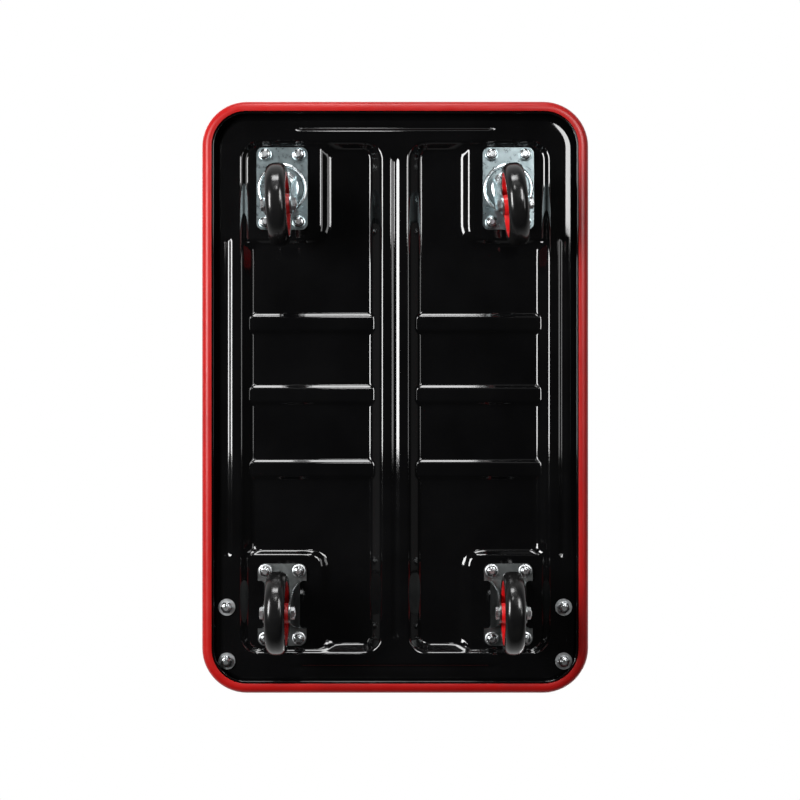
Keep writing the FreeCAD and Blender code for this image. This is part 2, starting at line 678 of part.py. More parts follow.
def hanging_bolts(places, head_under, stack_under):
    """Bolts put in from above, with their heads on head_under and room for a nut under stack_under."""
    grip = head_under - stack_under + NUT_HEIGHT + THREAD_PAST_NUT
    one = bolt(BOLT_DIAMETER, grip, HEAD_HEIGHT)
    one.rotate(point(0, 0, 0), Y_AXIS, 90)
    return Part.makeCompound([moved(one, x, y, head_under) for x, y in places])


def flange_nut():
    """A nut whose bearing face is a round flange, at its far end along X."""
    base = point(NUT_HEIGHT - FLANGE_THICKNESS, 0, 0)
    flange = tube(FLANGE_DIAMETER / 2, BOLT_DIAMETER / 2, base, X_AXIS, FLANGE_THICKNESS)
    return nut(BOLT_DIAMETER, NUT_HEIGHT).fuse(flange)


def hanging_nuts(one, places, stack_under):
    upright = turned_up(one)
    return Part.makeCompound([moved(upright, x, y, stack_under - NUT_HEIGHT) for x, y in places])


def bracket_washers():
    base = point(0, 0, CHANNEL_UNDER - WASHER_THICKNESS)
    one = tube(WASHER_DIAMETER / 2, BOLT_DIAMETER / 2, base, Z_AXIS, WASHER_THICKNESS)
    return Part.makeCompound([moved(one, x, y, 0) for x, y in bracket_bolt_places()])


def deck_fasteners():
    washer_under = CHANNEL_UNDER - WASHER_THICKNESS
    return {
        "caster_bolts": hanging_bolts(caster_bolt_places(), PAD_TOP, PLATE_UNDER),
        "caster_nuts": hanging_nuts(flange_nut(), caster_bolt_places(), PLATE_UNDER),
        "bracket_bolts": hanging_bolts(bracket_bolt_places(), BRACKET_BASE_TOP, washer_under),
        "bracket_washers": bracket_washers(),
        "bracket_nuts": hanging_nuts(nut(BOLT_DIAMETER, NUT_HEIGHT), bracket_bolt_places(), washer_under),
    }


# ---- handle ----------------------------------------------------------------------------------------------

def handle_bracket(side):
    """A U of sheet in the deck's channel. Its cheeks carry the pivot, and a tab between them is the stop."""
    length = BRACKET_REAR_Y - BRACKET_FRONT_Y
    base = Part.makeBox(
        2 * BRACKET_OUTER, length, BRACKET_SHEET, point(-BRACKET_OUTER, BRACKET_FRONT_Y, CHANNEL_TOP)
    )
    flange_top = BRACKET_BASE_TOP + BRACKET_FLANGE
    front = (BRACKET_FRONT_Y, flange_top)
    rear = (BRACKET_REAR_Y, flange_top)
    pivot = (PIVOT_Y, PIVOT_Z)
    outline = [
        (BRACKET_FRONT_Y, CHANNEL_TOP),
        (BRACKET_REAR_Y, CHANNEL_TOP),
        rear,
        tangent_point(rear, pivot, BRACKET_BOSS_RADIUS, 1),
        tangent_point(front, pivot, BRACKET_BOSS_RADIUS, -1),
        front,
    ]
    blade = plate_across_x(outline, BRACKET_INNER, BRACKET_OUTER)
    boss = cylinder(BRACKET_BOSS_RADIUS, point(BRACKET_INNER, PIVOT_Y, PIVOT_Z), X_AXIS, BRACKET_SHEET)
    blade = blade.fuse(boss)
    lean = math.radians(HANDLE_LEAN)
    tube_face_y = PIVOT_Y - LEG_BELOW_PIVOT * math.sin(lean) - TUBE_DIAMETER / 2 * math.cos(lean)
    tab_top = PIVOT_Z - TUBE_DIAMETER / 2 - STOP_BELOW_TUBE
    tab = Part.makeBox(
        2 * BRACKET_OUTER, BRACKET_SHEET, tab_top - CHANNEL_TOP,
        point(-BRACKET_OUTER, tube_face_y - STOP_GAP - BRACKET_SHEET, CHANNEL_TOP),
    )
    bracket = fused([base, blade, mirrored_x(blade), tab])
    bracket = bracket.cut(
        cylinder(PIVOT_DIAMETER / 2, point(-BRACKET_OUTER, PIVOT_Y, PIVOT_Z), X_AXIS, 2 * BRACKET_OUTER)
    )
    for y in (BRACKET_BOLT_FRONT_Y, BRACKET_BOLT_REAR_Y):
        bracket = bracket.cut(cylinder(BOLT_HOLE / 2, point(0, y, CHANNEL_TOP), Z_AXIS, BRACKET_SHEET))
    bracket = moved(bracket, side * HANDLE_X, 0, 0)
    return bracket.common(prism(channel_outline(1.0, -SIDE_GAP, CHANNEL_TOP), PIVOT_Z))


def handle_path():
    """The middle line of the upright handle: a leg, a bend, the top bar, a bend and the other leg."""
    foot = PIVOT_Z - LEG_BELOW_PIVOT
    top = PIVOT_Z + HANDLE_REACH
    edges = []
    ends = {}
    for side in SIDES.values():
        low = point(side * HANDLE_X, PIVOT_Y, foot)
        leg_top = point(side * HANDLE_X, PIVOT_Y, top - HANDLE_BEND)
        bar_end = point(side * (HANDLE_X - HANDLE_BEND), PIVOT_Y, top)
        chord = HANDLE_BEND * (1 - math.sqrt(0.5))
        middle = point(side * (HANDLE_X - chord), PIVOT_Y, top - chord)
        edges.append([Part.makeLine(low, leg_top), Part.Arc(leg_top, middle, bar_end).toShape()])
        ends[side] = bar_end
    return Part.Wire(edges[0] + [Part.makeLine(ends[1], ends[-1])] + edges[1][::-1])


def handle_bar(radius):
    """A solid bar of one radius along the handle's middle line."""
    ring = Part.makeCircle(radius, point(HANDLE_X, PIVOT_Y, PIVOT_Z - LEG_BELOW_PIVOT), Z_AXIS)
    return handle_path().makePipeShell([Part.Wire(ring)], True, True)


def leaned(shape):
    copy = shape.copy()
    copy.rotate(point(0, PIVOT_Y, PIVOT_Z), X_AXIS, -HANDLE_LEAN)
    return copy


def handle_tube():
    handle = handle_bar(TUBE_DIAMETER / 2).cut(handle_bar(TUBE_DIAMETER / 2 - TUBE_WALL))
    reach = HANDLE_X + TUBE_DIAMETER
    bore = cylinder(PIVOT_DIAMETER / 2 + RUNNING, point(-reach, PIVOT_Y, PIVOT_Z), X_AXIS, 2 * reach)
    return leaned(handle.cut(bore))


def handle_plugs():
    """The plastic plugs that close the two lower ends of the tube."""
    plugs = []
    for side in SIDES.values():
        base = point(side * HANDLE_X, PIVOT_Y, PIVOT_Z - LEG_BELOW_PIVOT)
        plugs.append(cylinder(TUBE_DIAMETER / 2 - TUBE_WALL, base, Z_AXIS, PLUG_DEPTH))
    return leaned(Part.makeCompound(plugs))


def pivot_fasteners():
    """The heads are on the outside of the brackets and the nuts are on the inside."""
    grip = 2 * BRACKET_OUTER + AXLE_NUT_HEIGHT + AXLE_PAST_NUT
    one_bolt = bolt(PIVOT_DIAMETER, grip, AXLE_HEAD_HEIGHT)
    one_nut = nut(PIVOT_DIAMETER, AXLE_NUT_HEIGHT)
    bolts = []
    nuts = []
    for side in SIDES.values():
        pair = (moved(one_bolt, -BRACKET_OUTER, 0, 0), moved(one_nut, BRACKET_OUTER, 0, 0))
        if side > 0:
            pair = (mirrored_x(pair[0]), mirrored_x(pair[1]))
        bolts.append(moved(pair[0], side * HANDLE_X, PIVOT_Y, PIVOT_Z))
        nuts.append(moved(pair[1], side * HANDLE_X, PIVOT_Y, PIVOT_Z))
    return {"handle_pivot_bolts": Part.makeCompound(bolts), "handle_pivot_nuts": Part.makeCompound(nuts)}


# ---- the whole truck ---------------------------------------------------------------------------------------

def truck():
    parts = {"deck": deck(), "bumper": bumper(), "deck_mat": deck_mat()}
    parts.update(deck_fasteners())
    for side_name, side in SIDES.items():
        parts.update(swivel_caster(side_name))
        parts.update(rigid_caster(side_name))
        parts["handle_bracket_" + side_name] = handle_bracket(side)
    parts["handle_tube"] = handle_tube()
    parts["handle_plugs"] = handle_plugs()
    parts.update(pivot_fasteners())
    return parts


os.makedirs("parts", exist_ok=True)
for node, shape in truck().items():
    shape.exportStep("parts/" + node + ".step")
    print(node, len(shape.Solids), shape.isValid(), round(shape.Volume), shape.BoundBox)
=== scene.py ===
import json
import math

import bmesh
import bpy
from mathutils import Matrix, Vector


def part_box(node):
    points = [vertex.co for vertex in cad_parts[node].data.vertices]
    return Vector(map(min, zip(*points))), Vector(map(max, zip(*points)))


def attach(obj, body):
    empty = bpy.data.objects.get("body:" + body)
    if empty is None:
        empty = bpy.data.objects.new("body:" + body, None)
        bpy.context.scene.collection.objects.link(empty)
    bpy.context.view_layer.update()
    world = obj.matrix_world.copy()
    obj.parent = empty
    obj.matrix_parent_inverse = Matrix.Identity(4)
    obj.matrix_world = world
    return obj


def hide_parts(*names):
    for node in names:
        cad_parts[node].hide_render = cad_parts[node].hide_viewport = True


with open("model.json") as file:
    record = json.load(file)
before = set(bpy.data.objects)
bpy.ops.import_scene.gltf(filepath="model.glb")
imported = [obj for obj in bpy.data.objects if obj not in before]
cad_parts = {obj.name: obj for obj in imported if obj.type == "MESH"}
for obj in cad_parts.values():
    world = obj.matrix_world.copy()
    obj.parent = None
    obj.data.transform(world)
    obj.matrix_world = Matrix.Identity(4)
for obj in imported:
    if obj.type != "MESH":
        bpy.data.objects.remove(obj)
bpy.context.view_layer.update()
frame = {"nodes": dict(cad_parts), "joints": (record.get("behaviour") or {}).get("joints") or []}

MM = 0.001
NODES = frame["nodes"]
SIDES = ("left", "right")

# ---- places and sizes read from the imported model, in metres ---------------------------------------------

DECK_LOW, DECK_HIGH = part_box("deck")
BUMPER_LOW, BUMPER_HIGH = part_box("bumper")
MAT_LOW, MAT_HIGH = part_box("deck_mat")
TYRE_LOW, TYRE_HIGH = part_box("tyre_rear_left")
RIM_LOW, RIM_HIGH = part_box("wheel_centre_rear_left")
JOINTS = {joint["name"]: joint for joint in frame["joints"]}

# ---- the deck's pressing, in metres -----------------------------------------------------------------------
# The frame's deck has the same steps, with sharper bends, higher beads and a channel that is flat to its edge.

SHEET = 1.5 * MM
HEM_REACH = 11.4 * MM      # the skirt's lower edge is folded inwards by this much
HEM_THICKNESS = 3 * MM
SKIRT_X = DECK_HIGH.x
SKIRT_Y = DECK_HIGH.y
DECK_CORNER = 52 * MM
CHANNEL_EDGE = 9.5 * MM    # from the skirt to the channel that runs round the deck
CROWN_START = 1 * MM       # the sheet's rounded rise from the channel to the skirt
CROWN_RUN = 4 * MM
CROWN_BEND = 1.5 * MM
ROLL_START = 15 * MM       # the channel's floor rolls up gently from here to the crown
ROLL_START_REAR = 4 * MM   # but stays flat under the handle's brackets
ROLL_SLOPE = 0.07
ROLL_BEND = 1 * MM
ROLL_RADIUS = 64 * MM
REAR_START = 130 * MM      # where along the deck the roll begins to narrow
REAR_RUN = 70 * MM
REAR_BEND = 20 * MM
CHANNEL_X = SKIRT_X - CHANNEL_EDGE
CHANNEL_Y = SKIRT_Y - CHANNEL_EDGE
CHANNEL_CORNER = DECK_CORNER - CHANNEL_EDGE
CHANNEL_WIDTH = 34 * MM
PANEL_RISE = 13 * MM       # rises are over the channel's floor
PAD_RISE = 6 * MM
CHANNEL_UNDER = DECK_HIGH.z - SHEET - PANEL_RISE
PANEL_OUT_X = CHANNEL_X - CHANNEL_WIDTH
PANEL_OUT_Y = CHANNEL_Y - CHANNEL_WIDTH
PANEL_IN_X = 16.5 * MM
WALL_RUN = 15 * MM
END_WALL_RUN = 11 * MM
PANEL_CORNER = 24 * MM
PAD_IN_X = PANEL_OUT_X - 99.5 * MM
PAD_IN_Y = PANEL_OUT_Y - 122.5 * MM
PAD_REACH = 90 * MM        # a pad runs this far each way from its middle, past the panel's edge
PAD_CORNER = 14 * MM
PAD_SIDE_WALL_RUN = 12 * MM
PAD_END_WALL_RUN = 7 * MM
PAD_BLEND = 3 * MM         # rounds the pad where it meets the panel's own walls
NOOK_BLEND = 8 * MM        # and rounds the panel's corner beside a pad by this much more
BEND = 0.2                 # half a bend's length, as a share of the wall's run
RIBS = (-93 * MM, -3 * MM, 91 * MM)
RIB_HALF = 8 * MM
RIB_DEPTH = 4 * MM
RIB_WALL_RUN = 5 * MM
RIB_BEND = 2 * MM
RIB_BLEND = 1.2 * MM
BEAD_HEIGHT = 2.2 * MM
BEAD_WALL_RUN = 5.4 * MM
BEAD_BEND = 1.5 * MM
BEAD_HALF_WIDTH = 6 * MM
END_BEAD_HALF_WIDTH = 5 * MM
BEAD_END = 0.95            # a bead's end radius, as a share of its half width
SIDE_BEAD_X = (CHANNEL_X + PANEL_OUT_X) / 2
SIDE_BEAD_HALF = 201.5 * MM
END_BEAD_Y = (CHANNEL_Y + PANEL_OUT_Y) / 2
END_BEAD_HALF = 127 * MM
MIDDLE_BEAD_HALF = PANEL_OUT_Y - 18 * MM
BEADS = (
    (0.0, 0.0, BEAD_HALF_WIDTH, MIDDLE_BEAD_HALF),
    (SIDE_BEAD_X, 0.0, BEAD_HALF_WIDTH, SIDE_BEAD_HALF),
    (-SIDE_BEAD_X, 0.0, BEAD_HALF_WIDTH, SIDE_BEAD_HALF),
    (0.0, END_BEAD_Y, END_BEAD_HALF, END_BEAD_HALF_WIDTH),
    (0.0, -END_BEAD_Y, END_BEAD_HALF, END_BEAD_HALF_WIDTH),
)
CORNER_ZONE = 44 * MM      # how much of each side, next to a corner, is bent into its round

# ---- casters and fasteners, in metres ---------------------------------------------------------------------

PLATE_THICKNESS = 3 * MM
CROWN_UNDER_BALLS = 2 * MM
PLATE_RACE = (29 * MM, 2.6 * MM, 1.2 * MM)      # radius, half width and depth
CROWN_RACE = (17.5 * MM, 4.2 * MM, 1.6 * MM)
RACE_SINK = 0.4 * MM       # how far a race's back lies in its plate
BOLT_RADIUS = 4 * MM
BOLT_END = 2.4 * MM        # how far a bolt stands out of its nut
NUT_ACROSS = 13 * MM
NUT_HEIGHT = 6.5 * MM
NUT_COLLAR = 2.2 * MM      # of the height, the round nylon collar
FLANGE_RADIUS = 8.5 * MM   # of a caster's nuts
FLANGE_BORE = 4.05 * MM
FLANGE_NECK = 6.6 * MM


# ---- meshes ----------------------------------------------------------------------------------------------

def new_piece(name, verts, faces, smooth=True):
    mesh = bpy.data.meshes.new(name)
    mesh.from_pydata(verts, [], faces)
    mesh.validate()
    for face in mesh.polygons:
        face.use_smooth = smooth
    piece = bpy.data.objects.new(name, mesh)
    bpy.context.scene.collection.objects.link(piece)
    return piece


def apply_modifiers(piece):
    graph = bpy.context.evaluated_depsgraph_get()
    mesh = bpy.data.meshes.new_from_object(piece.evaluated_get(graph))
    piece.modifiers.clear()
    old = piece.data
    piece.data = mesh
    mesh.name = old.name
    bpy.data.meshes.remove(old)


def outward_normals(piece):
    """Makes every closed shell of a piece face outwards."""
    mesh = bmesh.new()
    mesh.from_mesh(piece.data)
    bmesh.ops.recalc_face_normals(mesh, faces=mesh.faces)
    mesh.to_mesh(piece.data)
    mesh.free()


def grid_faces(rows, columns, wrap_rows=False, wrap_columns=False, start=0):
    """Quads over a rows x columns block of vertices."""
    faces = []
    for r in range(rows if wrap_rows else rows - 1):
        for c in range(columns if wrap_columns else columns - 1):
            a = start + r * columns + c
            b = start + r * columns + (c + 1) % columns
            d = start + (r + 1) % rows * columns + c
            e = start + (r + 1) % rows * columns + (c + 1) % columns
            faces.append((a, b, e, d))
    return faces


def soften(u, radius):
    """The positive part of u, rounded over twice the radius."""
    if u <= -radius:
        return 0.0
    if u >= radius:
        return u
    return (u + radius) ** 2 / (4 * radius)


def ramp(distance, run, radius):
    """0 before a wall's foot, 1 past its top, with rounded bends."""
    return (soften(distance, radius) - soften(distance - run, radius)) / run


def lower_of(a, b, blend):
    """The smaller of two heights, with the crease between them rounded."""
    gap = max(blend - abs(a - b), 0.0) / blend
    return min(a, b) - gap * gap * blend / 4


def outside_of(x, y, half_x, half_y, corner):
    """How far a point lies outside a rounded rectangle about the origin; negative inside."""
    dx = abs(x) - half_x + corner
    dy = abs(y) - half_y + corner
    return math.hypot(max(dx, 0.0), max(dy, 0.0)) + min(max(dx, dy), 0.0) - corner


def wall_travel(x, y, half_x, half_y, corner, run_x, run_y):
    """0 at a rounded rectangle's edge and 1 a wall's run outside it, with a run of its own each way."""
    dx = (abs(x) - half_x + corner) / run_x
    dy = (abs(y) - half_y + corner) / run_y
    if dx <= 0 or dy <= 0:
        return max(dx - corner / run_x, dy - corner / run_y)
    away = math.hypot(dx * run_x, dy * run_y)
    run = away / math.hypot(dx, dy)
    return (away - corner) / run


def rise_at(x, y):
    """How far the sheet stands over the channel's floor."""
    mid = (PANEL_OUT_X + PANEL_IN_X) / 2
    half = (PANEL_OUT_X - PANEL_IN_X) / 2
    inside = -wall_travel(abs(x) - mid, y, half, PANEL_OUT_Y, PANEL_CORNER, WALL_RUN, END_WALL_RUN)
    rise = PANEL_RISE * soften(inside, BEND)
    if rise > 0:
        past_pad = wall_travel(
            abs(x) - PAD_IN_X - PAD_REACH, abs(y) - PAD_IN_Y - PAD_REACH, PAD_REACH, PAD_REACH, PAD_CORNER,
            PAD_SIDE_WALL_RUN, PAD_END_WALL_RUN,
        )
        pad_limit = PAD_RISE + (PANEL_RISE - PAD_RISE) * soften(past_pad, BEND)
        rise = lower_of(rise, pad_limit, PAD_BLEND + NOOK_BLEND * ramp(past_pad, 0.6, BEND))
        rise = lower_of(rise, PANEL_RISE, BEND * PANEL_RISE)
        for rib in RIBS:
            from_rib = abs(y - rib) - RIB_HALF
            if from_rib < 3 * RIB_WALL_RUN:
                rib_rise = PANEL_RISE - RIB_DEPTH
                limit = rib_rise + 2 * RIB_DEPTH * ramp(from_rib, 2 * RIB_WALL_RUN, RIB_BEND)
                rise = lower_of(rise, limit, RIB_BLEND)
    for bx, by, half_x, half_y in BEADS:
        inside = -outside_of(x - bx, y - by, half_x, half_y, BEAD_END * min(half_x, half_y))
        rise += BEAD_HEIGHT * ramp(inside, BEAD_WALL_RUN, BEAD_BEND)
    past_edge = outside_of(x, y, CHANNEL_X, CHANNEL_Y, CHANNEL_CORNER)
    rear = ramp(y - REAR_START, REAR_RUN, REAR_BEND)
    roll_start = ROLL_START + (ROLL_START_REAR - ROLL_START) * rear
    if past_edge > -roll_start:
        along = past_edge + roll_start
        roll = ROLL_SLOPE * soften(along - ROLL_BEND, ROLL_BEND) + along ** 2 / (2 * ROLL_RADIUS)
        crown = roll + PANEL_RISE * ramp(past_edge - CROWN_START, CROWN_RUN, CROWN_BEND)
        rise += lower_of(crown, PANEL_RISE, CROWN_BEND)
    return rise


def stations(spans):
    """Grid lines: each span is (end, step), starting from 0 and mirrored to the other side."""
    places = [0.0]
    for end, step in spans:
        count = max(1, round((end - places[-1]) / step))
        start = places[-1]
        for i in range(1, count + 1):
            places.append(start + (end - start) * i / count)
    return [-p for p in reversed(places[1:])] + places


def corner_point(x, y, inner_x, inner_y, out, turn):
    """Carries a point of the inner rectangle's edge outwards to a ring whose corners are round."""
    ring_x = inner_x + out
    ring_y = inner_y + out
    reach = CORNER_ZONE + out
    radius = reach * turn
    sx = math.copysign(1, x)
    sy = math.copysign(1, y)
    on_end = abs(abs(y) - inner_y) < 1e-9
    along = abs(x) - (inner_x - CORNER_ZONE) if on_end else abs(y) - (inner_y - CORNER_ZONE)
    if along <= 0:
        return (x, sy * ring_y) if on_end else (sx * ring_x, y)
    straight = reach - radius
    travel = along / CORNER_ZONE * (straight + math.pi * radius / 4)
    if travel <= straight:
        forward, back = travel, 0.0
    else:
        angle = (travel - straight) / radius
        forward = straight + radius * math.sin(angle)
        back = radius * (1 - math.cos(angle))
    if on_end:
        return sx * (ring_x - reach + forward), sy * (ring_y - back)
    return sx * (ring_x - back), sy * (ring_y - reach + forward)


def deck_piece():
    """The pressed sheet: its underside as a fine surface, thickened upwards by the sheet."""
    inner_x = 199 * MM
    inner_y = 327 * MM
    xs = stations((
        (8 * MM, 1.1 * MM), (14 * MM, 2 * MM), (36 * MM, 1.4 * MM), (76 * MM, 6 * MM), (98 * MM, 1.4 * MM),
        (152 * MM, 6 * MM), (164 * MM, 3 * MM), (inner_x, 1.5 * MM),
    ))
    ys = stations((
        (22 * MM, 1.5 * MM), (72 * MM, 6 * MM), (112 * MM, 1.5 * MM), (184 * MM, 6 * MM),
        (203 * MM, 1.2 * MM), (290 * MM, 6 * MM), (300 * MM, 3 * MM), (inner_y, 1.4 * MM),
    ))
    verts = []
    for y in ys:
        for x in xs:
            verts.append((x, y, CHANNEL_UNDER + rise_at(x, y)))
    columns = len(xs)
    rows = len(ys)
    faces = [tuple(reversed(face)) for face in grid_faces(rows, columns)]
    rim = list(range(columns))
    rim += [r * columns + columns - 1 for r in range(1, rows)]
    rim += [(rows - 1) * columns + c for c in range(columns - 2, -1, -1)]
    rim += [r * columns for r in range(rows - 2, 0, -1)]
    width = SKIRT_X - SHEET - inner_x
    final_radius = DECK_CORNER - SHEET
    ring_step = 1.3 * MM
    steps = [ring_step * (i + 1) for i in range(int(width / ring_step))]
    edge_round = 3 * MM
    profile = [(out, None) for out in steps if out < width - edge_round]
    crown_z = CHANNEL_UNDER + PANEL_RISE
    for i in range(1, 7):
        angle = math.radians(15 * i)
        drop = edge_round * (1 - math.cos(angle))
        profile.append((width - edge_round + edge_round * math.sin(angle), crown_z - drop))
    skirt_low = DECK_LOW.z
    for share in (0.25, 0.5, 0.75, 1.0):
        z = crown_z - edge_round
        profile.append((width, z + (skirt_low - z) * share))
    previous = rim
    for out, z in profile:
        turn = final_radius / (CORNER_ZONE + width) * (out / width)
        start = len(verts)
        for index in rim:
            px, py, _ = verts[index]
            x, y = corner_point(px, py, inner_x, inner_y, out, turn)
            verts.append((x, y, CHANNEL_UNDER + rise_at(x, y) if z is None else z))
        ring = list(range(start, start + len(rim)))
        for i in range(len(rim)):
            j = (i + 1) % len(rim)
            faces.append((previous[i], previous[j], ring[j], ring[i]))
        previous = ring
    piece = new_piece("deck_pressing", verts, faces)
    outward_down(piece)
    thick = piece.modifiers.new("sheet", "SOLIDIFY")
    thick.thickness = SHEET
    thick.offset = -1
    thick.use_even_offset = True
    apply_modifiers(piece)
    return piece


def hem_piece():
    """The skirt's lower edge, folded inwards and curled at its inner edge."""
    low = DECK_LOW.z
    curl = HEM_THICKNESS / 2
    centre = -HEM_REACH + curl
    section = [(-SHEET, low + HEM_THICKNESS), (-SHEET, low + 0.5 * MM)]
    section += arc(centre, low + HEM_THICKNESS, HEM_THICKNESS, -57, -90, 8)
    section += arc(centre, low + curl, curl, -100, -300, 14)
    return swept_rim("deck_hem", SKIRT_X, SKIRT_Y, DECK_CORNER, section)


def outward_down(piece):
    """Turns an open sheet's faces so that they look down."""
    mesh = bmesh.new()
    mesh.from_mesh(piece.data)
    bmesh.ops.recalc_face_normals(mesh, faces=mesh.faces)
    middle = min(mesh.faces, key=lambda face: face.calc_center_median().xy.length)
    if middle.normal.z > 0:
        bmesh.ops.reverse_faces(mesh, faces=mesh.faces)
    mesh.to_mesh(piece.data)
    mesh.free()


def rounded_loop(half_x, half_y, corner, per_corner=14, per_side=10):
    """Points round a rounded rectangle, the same number for every offset."""
    centres = ((1, -1, -90), (1, 1, 0), (-1, 1, 90), (-1, -1, 180))
    points = []
    for sx, sy, start in centres:
        for i in range(per_corner + 1):
            angle = math.radians(start + 90 * i / per_corner)
            points.append((
                sx * (half_x - corner) + corner * math.cos(angle),
                sy * (half_y - corner) + corner * math.sin(angle),
            ))
    full = []
    for i, (x, y) in enumerate(points):
        full.append((x, y))
        if i % (per_corner + 1) == per_corner:
            nx, ny = points[(i + 1) % len(points)]
            for k in range(1, per_side):
                full.append((x + (nx - x) * k / per_side, y + (ny - y) * k / per_side))
    return full


def swept_rim(name, half_x, half_y, corner, section):
    """A closed section of (outwards, z) points swept round a rounded rectangle."""
    verts = []
    columns = 0
    for out, z in section:
        loop = rounded_loop(half_x + out, half_y + out, corner + out)
        columns = len(loop)
        verts += [(x, y, z) for x, y in loop]
    piece = new_piece(name, verts, grid_faces(len(section), columns, wrap_rows=True, wrap_columns=True))
    outward_normals(piece)
    return piece


def arc(cx, cz, radius, start, end, count):
    """Points of an arc in a (sideways, z) section, from one angle to another in degrees."""
    points = []
    for i in range(count + 1):
        angle = math.radians(start + (end - start) * i / count)
        points.append((cx + radius * math.cos(angle), cz + radius * math.sin(angle)))
    return points


def bumper_piece():
    """The soft C section: a crowned outer face, round lips over and under the deck's edge."""
    top = BUMPER_HIGH.z
    low = BUMPER_LOW.z
    wall = BUMPER_HIGH.x - SKIRT_X
    lip = 3 * MM
    tip = 1.3 * MM
    top_reach = -5.5 * MM
    low_reach = -8.4 * MM
    section = []
    section += [(low_reach + 0.5 * MM, low + lip), (-0.4 * MM, low + lip), (0.0, low + lip + 0.4 * MM)]
    section += [(0.0, top - lip - 0.4 * MM), (-0.4 * MM, top - lip), (top_reach + tip, top - lip)]
    section += arc(top_reach + tip, top - tip - 0.2 * MM, tip, 250, 110, 6)
    section += [(top_reach + 2.5 * MM, top), (-1.5 * MM, top)]
    top_round = 3.4 * MM
    section += arc(wall - top_round - 0.2 * MM, top - top_round, top_round, 88, 8, 7)
    mid = (top + low) / 2
    section += [(wall - 0.05 * MM, mid + 7 * MM), (wall, mid), (wall - 0.03 * MM, mid - 4 * MM)]
    under_round = 9.1 * MM
    under_centre = wall - under_round
    section += arc(under_centre, low + under_round, under_round, -4, -110, 22)
    inner_x, inner_z = section[-1]
    inner_round = 0.8 * MM
    section += arc(inner_x + 0.25 * MM, inner_z + 0.75 * MM, inner_round, -110, -175, 4)
    return swept_rim("bumper_edging", SKIRT_X, SKIRT_Y, DECK_CORNER, section)


def mat_piece():
    """A ribbed mat: a flat back and low round ribs along the deck, inside a plain border."""
    half_x = MAT_HIGH.x
    half_y = MAT_HIGH.y
    rib_height = 0.9 * MM
    base_top = MAT_HIGH.z - rib_height
    corner = 18 * MM
    border = 6 * MM
    verts = []
    section = [
        (-border, MAT_LOW.z), (-0.5 * MM, MAT_LOW.z), (0.0, MAT_LOW.z + 0.5 * MM),
        (0.0, MAT_HIGH.z - 0.8 * MM), (-0.8 * MM, MAT_HIGH.z), (-border + 1.2 * MM, MAT_HIGH.z),
        (-border, base_top),
    ]
    for out, z in section:
        verts += [(x, y, z) for x, y in rounded_loop(half_x + out, half_y + out, corner + out)]
    count = len(verts) // len(section)
    faces = grid_faces(len(section), count, wrap_columns=True)
    faces.append(tuple(range(count - 1, -1, -1)))
    faces.append(tuple(range(len(verts) - count, len(verts))))
    piece = new_piece("deck_mat_ribbed", verts, faces)
    outward_normals(piece)
    pitch = 6 * MM
    rib_half = 1.7 * MM
    rib_gap = 2 * MM
    inner_x = half_x - border - rib_gap
    number = int(2 * inner_x / pitch)
    rib_verts = []
    rib_faces = []
    shape = [(-1.0, -0.3), (-0.86, 0.55), (-0.5, 0.92), (0.0, 1.0), (0.5, 0.92), (0.86, 0.55), (1.0, -0.3)]
    for i in range(number + 1):
        x = -inner_x + (2 * inner_x - number * pitch) / 2 + i * pitch
        past = max(abs(x) - (half_x - corner), 0.0)
        shorten = corner - math.sqrt(max(corner ** 2 - past ** 2, 0.0))
        end = half_y - border - rib_gap - shorten
        start = len(rib_verts)
        rows = ((-end, 0.0), (-end + 0.8 * MM, 0.75), (-end + 1.8 * MM, 1.0))
        rows += tuple((-y, h) for y, h in reversed(rows))
        for y, share in rows:
            for across, up in shape:
                width = rib_half * (0.55 + 0.45 * share)
                height = rib_height * (up * share if up > 0 else up)
                rib_verts.append((x + width * across, y, base_top + height))
        columns = len(shape)
        rib_faces += grid_faces(len(rows), columns, start=start, wrap_columns=True)
        rib_faces.append(tuple(range(start + columns - 1, start - 1, -1)))
        last = start + (len(rows) - 1) * columns
        rib_faces.append(tuple(range(last, last + columns)))
    ribs = new_piece("deck_mat_ribs", rib_verts, rib_faces)
    outward_normals(ribs)
    return piece, ribs


def turned(name, section):
    """A closed section of (radius, x) points turned about the X axis at the origin."""
    segments = 96
    verts = []
    for i in range(segments):
        angle = 2 * math.pi * i / segments
        for radius, x in section:
            verts.append((x, radius * math.cos(angle), radius * math.sin(angle)))
    faces = grid_faces(segments, len(section), wrap_rows=True, wrap_columns=True)
    piece = new_piece(name, verts, faces)
    outward_normals(piece)
    return piece


def mirrored_section(half):
    """Adds the mirror image of a (radius, x) section that lies at x > 0."""
    return half + [(r, -x) for r, x in reversed(half)]


def tyre_section():
    outer = (TYRE_HIGH.z - TYRE_LOW.z) / 2
    half = (TYRE_HIGH.x - TYRE_LOW.x) / 2
    seat = (RIM_HIGH.z - RIM_LOW.z) / 2
    crown_drop = 2.6 * MM
    shoulder_x = half - 2.2 * MM
    half_section = []
    for i in range(13):
        x = shoulder_x * i / 12
        half_section.append((outer - crown_drop * (x / shoulder_x) ** 3, x))
    shoulder = half_section[-1]
    half_section += [
        (shoulder[0] - 0.9 * MM, half - 1.1 * MM), (shoulder[0] - 2.2 * MM, half - 0.35 * MM),
        (shoulder[0] - 3.6 * MM, half), (seat + 1.5 * MM, half - 0.1 * MM),
        (seat + 0.6 * MM, half - 0.5 * MM), (seat, half - 1.0 * MM), (seat, half - 5 * MM),
    ]
    return [(r, -x) for r, x in reversed(half_section[1:])] + half_section


